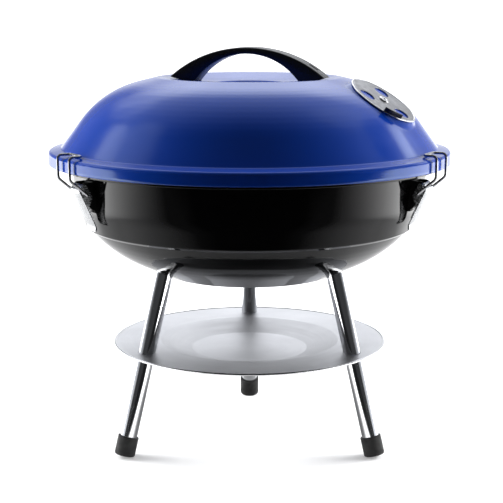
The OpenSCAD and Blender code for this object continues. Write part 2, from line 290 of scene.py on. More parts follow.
def place_piece(obj, body, slot, *nodes):
    """Puts a piece on a moving body, in place of the CAD nodes it stands for. The slot argument is not
    used.
    """
    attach(obj, body)
    if nodes:
        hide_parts(*nodes)


# ---------- materials ----------

class Nodes:
    """A node tree with short calls for the nodes it is built of."""

    def __init__(self, tree):
        self.tree = tree

    def new(self, kind):
        return self.tree.nodes.new("ShaderNode" + kind)

    def link(self, a, b):
        self.tree.links.new(a, b)

    def split(self, vector):
        node = self.new("SeparateXYZ")
        self.link(vector, node.inputs["Vector"])
        return node.outputs["X"], node.outputs["Y"], node.outputs["Z"]

    def math(self, operation, a, b=0.0):
        node = self.new("Math")
        node.operation = operation
        for socket, value in zip(node.inputs, (a, b)):
            if isinstance(value, (int, float)):
                socket.default_value = value
            else:
                self.link(value, socket)
        return node.outputs[0]

    def length(self, x, y):
        return self.math("SQRT", self.math("ADD", self.math("MULTIPLY", x, x), self.math("MULTIPLY", y, y)))

    def span(self, value, low_in, high_in, low_out, high_out, smooth=False):
        """Maps one range to another, held at both ends."""
        node = self.new("MapRange")
        if smooth:
            node.interpolation_type = "SMOOTHSTEP"
        for key, number in (
            ("From Min", low_in), ("From Max", high_in), ("To Min", low_out), ("To Max", high_out)
        ):
            node.inputs[key].default_value = number
        self.link(value, node.inputs["Value"])
        return node.outputs["Result"]


class Surface(Nodes):
    """The node tree of a new material with one shader."""

    def __init__(self, name):
        self.material = bpy.data.materials.new(name)
        self.material.use_nodes = True
        super().__init__(self.material.node_tree)
        self.shader = self.tree.nodes["Principled BSDF"]
        self.coord = self.new("TexCoord").outputs["Object"]

    def feed(self, key, value):
        self.link(value, self.shader.inputs[key])

    def set(self, **values):
        for key, value in values.items():
            self.shader.inputs[key.replace("_", " ")].default_value = value

    def stretched(self, scale):
        node = self.new("Mapping")
        node.inputs["Scale"].default_value = scale
        self.link(self.coord, node.inputs["Vector"])
        return node.outputs["Vector"]

    def noise(self, scale, detail, vector=None, rough=0.55):
        node = self.new("TexNoise")
        node.inputs["Scale"].default_value = scale
        node.inputs["Detail"].default_value = detail
        node.inputs["Roughness"].default_value = rough
        self.link(vector or self.coord, node.inputs["Vector"])
        return node.outputs["Fac"]

    def colour(self, value, first, second):
        """Base colour that goes from first to second as value goes from 0 to 1."""
        node = self.new("Mix")
        node.data_type = "RGBA"
        node.inputs[6].default_value = (*first, 1)
        node.inputs[7].default_value = (*second, 1)
        self.link(value, node.inputs[0])
        self.feed("Base Color", node.outputs[2])

    def bump(self, height, strength, distance):
        node = self.new("Bump")
        node.inputs["Strength"].default_value = strength
        node.inputs["Distance"].default_value = distance * MM
        self.link(height, node.inputs["Height"])
        self.feed("Normal", node.outputs["Normal"])


def enamel(name, dark, light, roughness, ior=1.5, deep=False, tint=(1, 1, 1)):
    """Fired gloss enamel: slight colour drift and orange peel. A deep one is blacker seen face on."""
    n = Surface(name)
    n.colour(n.span(n.noise(9, 2), 0.3, 0.7, 0, 1), dark, light)
    n.feed("Roughness", n.span(n.noise(60, 4), 0.3, 0.75, roughness * 0.75, roughness * 1.35))
    n.set(IOR=ior, Specular_Tint=(*tint, 1))
    if deep:
        n.feed("Specular IOR Level", n.span(n.new("LayerWeight").outputs["Facing"], 0.17, 0.42, 0.02, 0.5))
    n.bump(n.noise(420, 2), 0.04, 0.1)
    return n.material


def phenolic(name):
    """Black moulded plastic with a fine satin grain and slight greying."""
    n = Surface(name)
    n.colour(n.span(n.noise(35, 5), 0.35, 0.8, 0, 1), (0.003, 0.003, 0.0033), (0.008, 0.008, 0.0085))
    n.feed("Roughness", n.span(n.noise(180, 4), 0.3, 0.7, 0.24, 0.36))
    n.bump(n.noise(1600, 2), 0.12, 0.08)
    return n.material


def metal(name, base, roughness, worn, grain_scale, bump=0.04, along=(1, 1, 1)):
    """Plain metal: colour drift, uneven polish and fine tool marks along one direction."""
    n = Surface(name)
    n.colour(n.span(n.noise(40, 4), 0.3, 0.75, 0, 1), base, worn)
    grain = n.noise(grain_scale, 4, n.stretched(along))
    n.feed("Roughness", n.span(grain, 0.3, 0.7, roughness * 0.7, roughness * 1.4))
    n.set(Metallic=1.0)
    n.bump(grain, bump, 0.05)
    return n.material


def spun_steel(name):
    """Satin sheet spun on a lathe: fine rings about the axis, with a soft cloudy finish."""
    n = Surface(name)
    x, y, _ = n.split(n.coord)
    join = n.new("CombineXYZ")
    n.link(n.math("MULTIPLY", n.length(x, y), 900.0), join.inputs["X"])
    n.link(n.math("MULTIPLY", n.math("ARCTAN2", y, x), 0.8), join.inputs["Y"])
    rings = n.noise(1.0, 5, join.outputs["Vector"], 0.7)
    n.colour(n.span(n.noise(14, 4), 0.35, 0.7, 0, 1), (0.66, 0.66, 0.675), (0.76, 0.76, 0.775))
    n.feed("Roughness", n.span(rings, 0.25, 0.75, 0.38, 0.55))
    n.set(Metallic=1.0)
    n.bump(rings, 0.06, 0.05)
    return n.material


def rubber(name):
    """Dull black rubber with dust in its pores."""
    n = Surface(name)
    n.colour(n.span(n.noise(60, 5), 0.4, 0.8, 0, 1), (0.012, 0.012, 0.012), (0.035, 0.034, 0.033))
    n.feed("Roughness", n.span(n.noise(220, 3), 0.3, 0.7, 0.5, 0.72))
    n.bump(n.noise(900, 3), 0.2, 0.1)
    return n.material


def floor_material():
    """White paper. Its reflections are painted: black beyond its front edge and darker in front as painted
    shade, a painted shadow under the grill, and a painted glow at its two sides.
    """
    n = Surface("floor_paper_with_painted_reflections")
    x, y, _ = n.split(n.coord)
    aside = n.math("ABSOLUTE", x)
    path = n.new("LightPath").outputs
    edge = n.math("ADD", y, n.span(aside, 0.10, 0.38, 0.0, 0.25))
    behind_edge = n.span(edge, -0.32, -0.22, 0.0, 1.0)
    # Painted shadow under the grill, seen only by rays that are not the camera's.
    near = n.math("MULTIPLY", behind_edge, n.span(n.length(x, y), 0.08, 0.20, 0.25, 1.0))
    unseen = n.math("SUBTRACT", 1.0, path["Is Camera Ray"])
    painted_shade_keep = n.math("SUBTRACT", 1.0, n.math("MULTIPLY", unseen, n.math("SUBTRACT", 1.0, near)))
    # Painted shade over the front of the floor, seen only in reflections.
    painted_front_shade = n.math("MULTIPLY", path["Is Glossy Ray"], n.span(y, -0.35, 0.0, 0.0, 0.58))
    n.colour(n.math("MULTIPLY", painted_shade_keep, n.math("SUBTRACT", 1.0, painted_front_shade)), (0, 0, 0), (0.87, 0.87, 0.875))
    toward_x, _, toward_z = n.split(n.new("NewGeometry").outputs["Incoming"])
    # Painted glow at the floor's two sides, seen only in reflections.
    sideways = n.span(n.math("ABSOLUTE", toward_x), 0.45, 0.80, 0.15, 1.0)
    shallow = n.span(toward_z, 0.26, 0.42, 3.2, 0.0)
    side = n.math("MULTIPLY", path["Is Glossy Ray"], n.math("MULTIPLY", sideways, shallow))
    far = n.span(y, 0.4, 3.0, 0.22, 1.1)
    n.feed("Emission Strength", n.math("MULTIPLY", painted_shade_keep, n.math("ADD", side, far)))
    n.set(Roughness=0.8, Emission_Color=(1, 1, 1, 1))
    return n.material


BLUE = enamel("blue_enamel", (0.0025, 0.031, 0.265), (0.0035, 0.037, 0.305), 0.14, tint=(0.72, 0.92, 1))
BLACK = enamel("black_enamel", (0.0012, 0.0012, 0.0013), (0.002, 0.002, 0.0022), 0.06, 1.42, True)
PLASTIC = phenolic("black_phenolic")
CHROME = metal("chrome_plate", (0.80, 0.81, 0.83), 0.07, (0.74, 0.75, 0.77), 90, 0.01)
SPUN = spun_steel("spun_steel")
STAMPED = metal("stamped_aluminium", (0.46, 0.46, 0.47), 0.42, (0.38, 0.38, 0.39), 300, 0.05)
# Brighter, glossier copy of the bare metal: real on the eyelets, a painted highlight on the vent discs'
# lips and the ash catcher's rim.
POLISHED_AND_HIGHLIGHT = metal("polished_edge_and_painted_highlight", (0.86, 0.86, 0.87), 0.16, (0.80, 0.80, 0.81), 200, 0.02)
PLATED = metal("zinc_plate", (0.68, 0.69, 0.70), 0.24, (0.58, 0.59, 0.60), 160, 0.04, (1, 1, 6))
WIRE = metal("spring_wire", (0.50, 0.50, 0.52), 0.22, (0.40, 0.40, 0.41), 220, 0.04)
ROD = metal("nickel_rod", (0.66, 0.65, 0.63), 0.18, (0.55, 0.53, 0.50), 120, 0.04)
COAL_IRON = metal("heat_dulled_steel", (0.20, 0.19, 0.185), 0.5, (0.11, 0.095, 0.085), 90, 0.2)
# Black lacquer of the latch brackets; on the vent discs' finger tabs the same black is painted shade.
BLACK_LACQUER_AND_SHADE = enamel("black_lacquer_and_painted_shade", (0.006, 0.006, 0.006), (0.012, 0.012, 0.012), 0.22)
RUBBER = rubber("black_rubber")


# ---------- lid ----------

VENT = JOINTS["lid_vent_turn"]
VENT_AT = Vector(VENT["pos_m"]) / MM
VENT_UP = Vector(VENT["axis"]).normalized()
VENT_DOWN_SLOPE = (VENT_UP * VENT_UP.z - Vector((0, 0, 1))).normalized()
VENT_SIDE = VENT_UP.cross(VENT_DOWN_SLOPE)


def frame_matrix(at, x_axis, y_axis, z_axis):
    """Matrix that carries the origin and the three axes to these."""
    matrix = Matrix((x_axis, y_axis, z_axis)).transposed().to_4x4()
    matrix.translation = at
    return matrix


VENT_PLACE = frame_matrix(VENT_AT, VENT_DOWN_SLOPE, VENT_SIDE, VENT_UP)
VENT_PAD_R = DAMPER_R - 2.0
VENT_PAD_BLEND = 5.0
VENT_HOLE_R = 7.25
VENT_HOLE_RING = 19.5


def smooth_step(value):
    """Soft step from 0 to 1, held at both ends."""
    value = max(0.0, min(1.0, value))
    return value * value * (3 - 2 * value)


def flatten_for_vent(point, surface):
    """Moves a point of the lid's skin so that the skin is flat under the vent disc."""
    local = VENT_PLACE.inverted() @ surface
    reach = math.hypot(local.x, local.y)
    weight = 1 - smooth_step((reach - VENT_PAD_R) / VENT_PAD_BLEND)
    if weight <= 0 or abs(local.z) > 15:
        return point
    return point - VENT_UP * local.z * weight


def lid_line():
    """Outline of the lid's skin, from its lower edge to the middle of the crown."""
    return rounded([
        (LID_R, RIM_Z - LID_SKIRT, 0),
        (LID_R, RIM_Z + 9.3, 3),
        (LID_R - 11.5, RIM_Z + 11.8, 2.2),
        (LID_R - 47.5, CREST_Z - 12.5, 90),
        (82, CREST_Z, 16),
        (50, CREST_Z - 5, 25),
        (33.5, CREST_Z - 5.6, 1),
        (32, CREST_Z - 6.9, 1),
        (0, CREST_Z - 6.9, 0),
    ])


def lid_angles():
    """Directions round the lid, closer together near the vent."""
    vent = math.atan2(VENT_AT.y, VENT_AT.x)
    angles = []
    a = 0.0
    while a < 360.0 - 1e-6:
        angles.append(vent + math.radians(a))
        near = min(a, 360.0 - a) < 20.0
        a += 0.5 if near else 1.25
    return angles


def make_lid():
    """Drawn steel lid with a rolled lower edge, a flat pad for the vent and three holes in it."""
    outer = subdivided(lid_line(), 2.2)
    inner = beside(outer, SHEET)
    angles = lid_angles()
    bm = bmesh.new()
    rows = []
    hem = edge_arc(outer[0], inner[0], Vector((0, -1)))
    outside = [(p, p) for p in outer[::-1] + hem]
    for p, skin in outside + list(zip(inner, outer)):
        row = []
        for a in angles:
            c, s = math.cos(a), math.sin(a)
            point = Vector((p.x * c, p.x * s, p.y))
            row.append(flatten_for_vent(point, Vector((skin.x * c, skin.x * s, skin.y))))
        rows.append(row)
    grid(bm, rows)
    lid = make_object("lid_shell", bm, BLUE, 50)
    cutters = bmesh.new()
    reach = Vector((0, 0, 4))
    for k in range(3):
        a = math.radians(60 + 120 * k)
        at = Vector((VENT_HOLE_RING * math.cos(a), VENT_HOLE_RING * math.sin(a), 0))
        cylinder(cutters, VENT_PLACE @ (at - reach), VENT_PLACE @ (at + reach), VENT_HOLE_R)
    cut_with(lid, make_object("lid_cutter", cutters, None))
    place_piece(lid, "lid", "lid_enamel", "lid")


# ---------- vents ----------

LIP_W = 1.8
TAB_ANGLE = -50.0
TAB_W = 18.0
TAB_RISE = 5.0


def make_damper(name, place, body, slot, node):
    """Stamped disc with a raised lip painted brighter as a painted highlight, three holes and a finger tab
    bent up, painted black as painted shade.
    """
    curve = bpy.data.curves.new(name, "CURVE")
    curve.dimensions = "2D"
    curve.fill_mode = "BOTH"
    curve.extrude = 0.28 * MM
    curve.bevel_depth = 0.2 * MM
    curve.bevel_resolution = 2

    def circle(cx, cy, radius, count):
        spline = curve.splines.new("POLY")
        spline.points.add(count - 1)
        for p, a in zip(spline.points, even(count)):
            p.co = ((cx + radius * math.cos(a)) * MM, (cy + radius * math.sin(a)) * MM, 0, 1)
        spline.use_cyclic_u = True

    circle(0, 0, DAMPER_R - LIP_W / 2, 128)
    for k in range(3):
        a = math.radians(120 * k)
        circle(VENT_HOLE_RING * math.cos(a), VENT_HOLE_RING * math.sin(a), VENT_HOLE_R, 48)
    circle(0, 0, 2.6, 24)
    source = bpy.data.objects.new(name, curve)
    bpy.context.collection.objects.link(source)
    graph = bpy.context.evaluated_depsgraph_get()
    mesh = bpy.data.meshes.new_from_object(source.evaluated_get(graph))
    bpy.data.objects.remove(source)
    bm = bmesh.new()
    bm.from_mesh(mesh)
    bmesh.ops.scale(bm, vec=(1 / MM,) * 3, verts=bm.verts)
    bmesh.ops.translate(bm, vec=(0, 0, 0.55), verts=bm.verts)
    for f in bm.faces:
        f.material_index = 0
    first_lip = len(bm.faces)
    lip = [(DAMPER_R - 0.95 + 0.85 * math.cos(a), 0.75 + 0.62 * math.sin(a)) for a in even(14)]
    lathe(bm, lip, even(160), closed=True)
    first_tab = len(bm.faces)
    tab_middle, tab_half = math.radians(TAB_ANGLE), TAB_W / 2 / DAMPER_R
    path = rounded([
        (DAMPER_R - 4.2, 0.62, 0), (DAMPER_R - 0.7, 0.62, 1.4), (DAMPER_R - 0.5, TAB_RISE, 0),
    ], 12)
    skin = path + beside(path, 0.8)[::-1]
    rows = []
    for k in range(13):
        a = tab_middle + tab_half * (k / 6 - 1)
        rows.append([Vector((p.x * math.cos(a), p.x * math.sin(a), p.y)) for p in skin])
    verts = grid(bm, rows)
    bm.faces.new(verts[0])
    bm.faces.new(verts[-1][::-1])
    bm.faces.ensure_lookup_table()
    for f in bm.faces[first_lip:first_tab]:
        f.material_index = 1
    for f in bm.faces[first_tab:]:
        f.material_index = 2
    bmesh.ops.transform(bm, matrix=place, verts=bm.verts)
    obj = make_object(name, bm, STAMPED, 30)
    # The lip takes the brighter metal as a painted highlight.
    obj.data.materials.append(POLISHED_AND_HIGHLIGHT)
    # The tab takes the black as painted shade.
    obj.data.materials.append(BLACK_LACQUER_AND_SHADE)
    place_piece(obj, body, slot, node)


def make_eyelet(name, place, body, node):
    """Hollow rivet that holds a damper: a rolled head with a small hole in its middle."""
    bm = bmesh.new()
    head = rounded([
        (1.3, -3.6, 0), (1.3, 2.2, 0.8), (3.0, 2.5, 0.9), (4.6, 1.9, 0.5), (4.6, 1.15, 0), (2.4, 1.1, 0),
        (2.4, -1.25, 0), (4.6, -1.3, 0), (4.6, -2.4, 0.6), (2.6, -2.8, 0.6), (1.7, -3.2, 0),
    ], 20)
    lathe(bm, head, even(48), closed=True, place=place)
    place_piece(make_object(name, bm, POLISHED_AND_HIGHLIGHT, 35), body, "vent_zinc", node)


# ---------- handle ----------

HANDLE_ARCH_R = 109.0
HANDLE_INNER_R = 59.0
HANDLE_GRIP = 5.6
HANDLE_HALF = 71.0
HANDLE_INNER_HALF = 49.4
HANDLE_W = 24.0
GROOVE_AT = 5.0
GROOVE_W = 0.55
GROOVE_DEEP = 0.5
POCKET_AT = 58.5


def lid_seat():
    """The solid under the crown's skin, used to shape the feet of the handle that stands on it."""
    crown = [p + Vector((0, TOUCH_GAP)) for p in lid_line() if p.x < 110]
    profile = [Vector((0, RIM_Z)), Vector((crown[0].x, RIM_Z))] + crown
    bm = bmesh.new()
    lathe(bm, profile, even(180))
    return make_object("lid_seat", bm, None)


def handle_top(x):
    """Height of the handle's back at the distance x from its middle."""
    return TOP_Z - HANDLE_ARCH_R + math.sqrt(HANDLE_ARCH_R ** 2 - x * x)


def make_handle():
    """Arched strap, thicker towards its feet, with rounded edges and two grooves along its back."""
    stations = 72
    rows = []
    inner_square = HANDLE_INNER_R ** 2
    for i in range(stations + 1):
        t = -1 + 2 * i / stations
        t = math.copysign(abs(t) ** 0.9, t)  # closer together towards the feet
        x_top = HANDLE_HALF * t
        top = Vector((x_top, handle_top(x_top)))
        x_low = HANDLE_INNER_HALF * t
        low_z = TOP_Z - HANDLE_GRIP - HANDLE_INNER_R + math.sqrt(max(0.0, inner_square - x_low * x_low))
        bottom = Vector((x_low, low_z))
        up = top - bottom
        height = up.length
        up.normalize()
        half = HANDLE_W / 2
        edge = min(1.9, height * 0.45)
        loop = [(-half + edge * 0.55, 0.0), (half - edge * 0.55, 0.0)]
        loop += [(half - 0.25, 0.35), (half, edge * 0.7), (half, height - edge)]
        for k in range(1, 5):
            a = math.pi / 2 * k / 5
            loop.append((half - edge + edge * math.cos(a), height - edge + edge * math.sin(a)))
        loop.append((half - edge, height))
        for sign in (1, -1):
            for share, dz in ((1, 0), (0.4, -GROOVE_DEEP), (-0.4, -GROOVE_DEEP), (-1, 0)):
                loop.append((sign * GROOVE_AT + GROOVE_W * share, height + dz))
        loop.append((-half + edge, height))
        for k in range(4, 0, -1):
            a = math.pi / 2 * k / 5
            loop.append((-half + edge - edge * math.cos(a), height - edge + edge * math.sin(a)))
        loop += [(-half, height - edge), (-half, edge * 0.7), (-half + 0.25, 0.35)]
        rows.append([Vector((bottom.x + up.x * h, y, bottom.y + up.y * h)) for y, h in loop])
    bm = bmesh.new()
    verts = grid(bm, rows)
    bm.faces.new(verts[0][::-1])
    bm.faces.new(verts[-1])
    bmesh.ops.rotate(bm, matrix=turned(HANDLE_TURN).to_3x3(), verts=bm.verts, cent=(0, 0, 0))
    handle = make_object("lid_handle_arch", bm, PLASTIC, 60)
    cut_with(handle, lid_seat())
    pockets = bmesh.new()
    for sign in (-1, 1):
        at = Matrix.Translation((sign * POCKET_AT, 0, handle_top(POCKET_AT)))
        slope = Matrix.Rotation(sign * math.asin(POCKET_AT / HANDLE_ARCH_R), 4, "Y")
        box = bmesh.ops.create_cube(pockets, size=1.0)["verts"]
        size = Matrix.Diagonal((9.0, 5.0, 9.0, 1.0))
        bmesh.ops.transform(pockets, matrix=turned(HANDLE_TURN) @ at @ slope @ size, verts=box)
    cut_with(handle, make_object("pocket_cutter", pockets, None))
    place_piece(handle, "lid", "handle_plastic", "lid_handle")


# ---------- bowl ----------

def bowl_line():
    """Outline of the bowl's skin, from the middle of its bottom to its rolled rim."""
    rim = LID_R - 7.6
    return rounded([
        (0, BOWL_Z, 0),
        (78, BOWL_Z, 7),
        (LID_R - 52.8, BOWL_Z + 23.2, 118),
        (LID_R - 35, BOWL_Z + 43.2, 1),
        (LID_R - 31.5, BOWL_Z + 45.4, 1.5),
        (LID_R - 25.2, BOWL_Z + 64, 45),
        (LID_R - 19.2, RIM_Z - 2.4, 1),
        (LID_R - 13.8, RIM_Z - 2.0, 1.2),
        (LID_R - 13.2, RIM_Z + 9.4, 1.3),
        (rim - SHEET, RIM_Z + 8.6, 1),
        (rim - SHEET, RIM_Z - 4, 0),
    ])


def leg_frame(angle):
    """Matrix whose origin is the leg's top and whose -Z runs down the leg."""
    at = Matrix.Translation((LEG_TOP[0], 0, LEG_TOP[1]))
    return turned(angle) @ at @ Matrix.Rotation(-LEG_LEAN, 4, "Y")


def make_bowl():
    """Drawn steel bowl with two ledges, a rolled rim, bolt holes for the legs and three vent holes."""
    outer = subdivided(bowl_line(), 3.0)
    inner = beside(outer, SHEET)
    hem = edge_arc(outer[-1], inner[-1], Vector((0, -1)))
    bm = bmesh.new()
    lathe(bm, outer + hem + inner[::-1], even(288))
    bowl = make_object("bowl_shell", bm, BLACK, 50)
    cutters = bmesh.new()
    for angle in LEGS.values():
        place = leg_frame(angle)
        cylinder(cutters, place @ Vector((0, 0, -15)), place @ Vector((0, 0, 15)), 3.3)
    for k in range(3):
        a = math.radians(-60 - 120 * k)
        at = Vector((VENT_HOLE_RING * math.cos(a), VENT_HOLE_RING * math.sin(a), BOWL_Z))
        cylinder(cutters, at - Vector((0, 0, 5)), at + Vector((0, 0, 5)), VENT_HOLE_R)
    cut_with(bowl, make_object("bowl_cutter", cutters, None))
    place_piece(bowl, "bowl_and_stand", "bowl_enamel", "bowl")


# ---------- legs, feet and ash catcher ----------

def bowl_skin_cutter(gap):
    """The solid inside the bowl's skin, grown by a gap, used to shape what stands against the bowl."""
    line = beside(bowl_line(), -gap)
    wall = [p for p in line if p.x < LID_R - 13]
    bm = bmesh.new()
    top = RIM_Z + 20
    lathe(bm, [Vector((0, wall[0].y))] + wall + [Vector((wall[-1].x, top)), Vector((0, top))], even(360))
    return make_object("bowl_skin", bm, None)


def make_leg(name, angle):
    """Chromed tube, mitred to the bowl, with a nib under the ash catcher."""
    place = leg_frame(angle)
    foot = -(LEG_LENGTH - 2.6)
    wall = 1.2
    profile = [
        (LEG_R - wall, foot), (LEG_R - 0.3, foot), (LEG_R, foot + 0.4), (LEG_R, foot + 1),
        (LEG_R, -60), (LEG_R, 9), (LEG_R - wall, 9),
    ]
    bm = bmesh.new()
    lathe(bm, profile, even(72), closed=True, place=place)
    leg = make_object(name + "_tube", bm, CHROME, 40)
    cut_with(leg, bowl_skin_cutter(TOUCH_GAP))
    nib = bmesh.new()
    down = (LEG_TOP[1] - (ASH_Z - 3.4)) / math.cos(LEG_LEAN)
    dome = rounded([(1.9, 0, 0), (1.9, 1.4, 1.2), (0, 1.5, 0)], 15)
    at = Matrix.Translation((-LEG_R + 0.2, 0, -down))
    lathe(nib, dome, even(24), place=place @ at @ Matrix.Rotation(-math.pi / 2, 4, "Y"))
    bump = make_object(name + "_nib", nib, CHROME)
    place_piece(bump, "bowl_and_stand", "leg_chrome")
    place_piece(leg, "bowl_and_stand", "leg_chrome", name)


def make_foot(name, angle):
    """Moulded rubber cap with a rounded toe, worn flat where it stands."""
    place = leg_frame(angle)
    end = -LEG_LENGTH
    outer = LEG_R + 1.7
    profile = rounded([
        (0, end, 0), (outer, end, 1.6), (outer, end + 17.5, 0.7), (LEG_R + 0.06, end + 17.5, 0),
        (LEG_R + 0.06, end + 2.5, 0), (0, end + 2.5, 0),
    ], 10)
    bm = bmesh.new()
    lathe(bm, profile, even(72), place=place)
    cap = make_object(name + "_moulding", bm, RUBBER, 40)
    ground = bmesh.new()
    box = bmesh.ops.create_cube(ground, size=1.0)["verts"]
    size = Matrix.Diagonal((500, 500, 20, 1))
    bmesh.ops.transform(ground, matrix=Matrix.Translation((0, 0, -10)) @ size, verts=box)
    cut_with(cap, make_object("ground_cutter", ground, None))
    place_piece(cap, "bowl_and_stand", "foot_rubber", name)


def make_ash_catcher():
    """Spun dish with a rolled rim painted brighter as a painted highlight, holed for the legs."""
    line = subdivided(rounded([
        (0, ASH_Z - 10, 0), (53, ASH_Z - 10, 6), (82, ASH_Z - 1.4, 8), (ASH_R - 1.2, ASH_Z - 1.4, 0),
    ]), 4)
    upper = beside(line, 0.8)
    lip_at = Vector((ASH_R - 1.0, ASH_Z - 1.0))
    lip_angles = [math.radians(-150 + 30 * k) for k in range(11)]
    lip = [lip_at + Vector((math.cos(a), math.sin(a))) for a in lip_angles]
    bm = bmesh.new()
    lathe(bm, line + lip + upper[::-1], even(256))
    # The rim's faces take the brighter metal as a painted highlight.
    for f in bm.faces:
        middle = f.calc_center_median()
        f.material_index = int(math.hypot(middle.x, middle.y) > ASH_R - 1.7)
    pan = make_object("ash_catcher_dish", bm, SPUN, 45)
    pan.data.materials.append(POLISHED_AND_HIGHLIGHT)
    cutters = bmesh.new()
    for angle in LEGS.values():
        place = leg_frame(angle)
        cylinder(cutters, place @ Vector((0, 0, -20)), place @ Vector((0, 0, -LEG_LENGTH)), LEG_R + 0.4, 48)
    cut_with(pan, make_object("pan_cutter", cutters, None))
    place_piece(pan, "bowl_and_stand", "ash_steel", "ash_catcher")


# ---------- grates ----------

def make_grate(name, node, material, slot, hoop_r, rod_r, pitch, body):
    """Welded rod grate: a round hoop, parallel rods and two cross rods under them."""
    radius = high(node)[0] - hoop_r
    z = low(node)[2] + hoop_r + 0.2
    bm = bmesh.new()
    hoop = [Vector((radius * math.cos(a), radius * math.sin(a), z)) for a in even(120)]
    sweep(bm, hoop, hoop_r, 14, True)

    def rod(offset, height, turn):
        reach = math.sqrt(max(0.0, radius ** 2 - offset ** 2))
        if reach < 8:
            return
        line = [Vector((along, offset, height)) for along in (-reach + 0.3, 0, reach - 0.3)]
        sweep(bm, [Vector((p.y, p.x, p.z)) for p in line] if turn else line, rod_r, 12)

    count = int(radius // pitch)
    for k in range(-count, count + 1):
        rod(k * pitch, z + 0.6, True)
    for offset in (-radius / 2, radius / 2):
        rod(offset, z - 0.6, False)
    place_piece(make_object(name, bm, material), body, slot, node)


# ---------- latches ----------

BAIL_PIVOT = Vector((LID_R - 14, RIM_Z - 20.5))
BAIL_HALF = 11.7
WIRE_R = 1.2
CHEEK = 9.0
CHEEK_DEPTH = 9.2
EDGE_DEPTH = 2.2
EAR = 7.5


def latch_place(side):
    """Matrix from the latch's own plane, X outwards, to its place on the grill."""
    return turned(SIDES[side] + LATCH_TURN)


def make_bail(side):
    """Wire loop: hooks in the lever's cheeks, up both sides, over the lid's rim and across."""
    line = rounded([
        (BAIL_PIVOT.x, BAIL_PIVOT.y, 0),
        (LID_R + 2.4, RIM_Z - 6.5, 5),
        (LID_R + 2.4, RIM_Z + 12.9, 3.4),
        (LID_R - 9, RIM_Z + 12.9, 0),
    ], 12)
    hook = 1.6
    path = [Vector((line[0].x, -7.8, line[0].y)), Vector((line[0].x, -BAIL_HALF + hook, line[0].y))]
    for k in range(1, 5):
        a = math.pi / 2 * k / 5
        toward = (line[1] - line[0]).normalized()
        path.append(Vector((
            line[0].x + toward.x * hook * (1 - math.cos(a)),
            -BAIL_HALF + hook * (1 - math.sin(a)),
            line[0].y + toward.y * hook * (1 - math.cos(a)),
        )))
    path += [Vector((p.x, -BAIL_HALF, p.y)) for p in line[1:-1]]
    end = line[-1]
    corner = 3.0
    path.append(Vector((end.x + corner, -BAIL_HALF, end.y)))
    for k in range(1, 6):
        a = math.pi / 2 * k / 6
        along, across = corner * (1 - math.sin(a)), corner * (1 - math.cos(a))
        path.append(Vector((end.x + along, across - BAIL_HALF, end.y)))
    path.append(Vector((end.x, -BAIL_HALF + corner, end.y)))
    path += [Vector((p.x, -p.y, p.z)) for p in path[::-1]]
    bm = bmesh.new()
    sweep(bm, path, WIRE_R, 14)
    obj = moved(make_object("latch_bail_" + side + "_wire", bm, WIRE, 60), latch_place(side))
    place_piece(obj, "latch_bail_" + side, "bail_wire", "latch_bail_" + side)


def make_lever(side):
    """Stamped channel lever: deep cheeks at its pivots, shallow further down, with a curled finger lip."""
    top = Vector((LID_R - 6.3, RIM_Z - 16))
    tip = Vector((LID_R - 23, RIM_Z - 51))
    down = (tip - top).normalized()
    out = Vector((-down.y, down.x))
    length = (tip - top).length
    metal_t = 1.1
    path = rounded([
        (top.x - 4.2, top.y + 5.2, 0), (top.x, top.y, 5),
        (tip.x - down.x * 3, tip.y - down.y * 3, 5), (tip.x + out.x * 1.6, tip.y + out.y * 1.6, 0),
    ], 12)
    path = subdivided(path, 2.0)
    rows = []
    travelled = 0.0
    for i, p in enumerate(path):
        ahead = (path[min(i + 1, len(path) - 1)] - path[max(i - 1, 0)]).normalized()
        inward = Vector((ahead.y, -ahead.x))
        if i:
            travelled += (p - path[i - 1]).length
        share = travelled / length
        depth = CHEEK_DEPTH
        if share >= 0.42:
            depth += (EDGE_DEPTH - CHEEK_DEPTH) * smooth_step((share - 0.42) / 0.22)
        if share > 0.86:
            depth = EDGE_DEPTH - 0.9 * smooth_step((share - 0.86) / 0.1)
        if share < 0.12:
            depth = 3.2 + 6.0 * smooth_step(share / 0.12)
        half = CHEEK - 0.8 * smooth_step((share - 0.5) / 0.5)
        bend = 1.4
        outer = [(-half, depth), (-half, bend)]
        outer += [(-half + bend * (1 - math.cos(a)), bend * (1 - math.sin(a))) for a in (0.4, 0.8, 1.2)]
        outer += [(-half + bend, 0), (0, 0), (half - bend, 0)]
        outer += [(half - bend * (1 - math.cos(a)), bend * (1 - math.sin(a))) for a in (1.2, 0.8, 0.4)]
        outer += [(half, bend), (half, depth)]
        inside = half - metal_t
        inner = [(inside, depth), (inside, bend), (inside - 0.4, metal_t), (0, metal_t)]
        inner += [(-inside + 0.4, metal_t), (-inside, bend), (-inside, depth)]
        rows.append([Vector((p.x + inward.x * d, y, p.y + inward.y * d)) for y, d in outer + inner])
    bm = bmesh.new()
    verts = grid(bm, rows)
    bm.faces.new(verts[0])
    bm.faces.new(verts[-1][::-1])
    obj = moved(make_object("latch_lever_" + side + "_channel", bm, PLATED, 40), latch_place(side))
    place_piece(obj, "latch_lever_" + side, "latch_steel", "latch_lever_" + side)


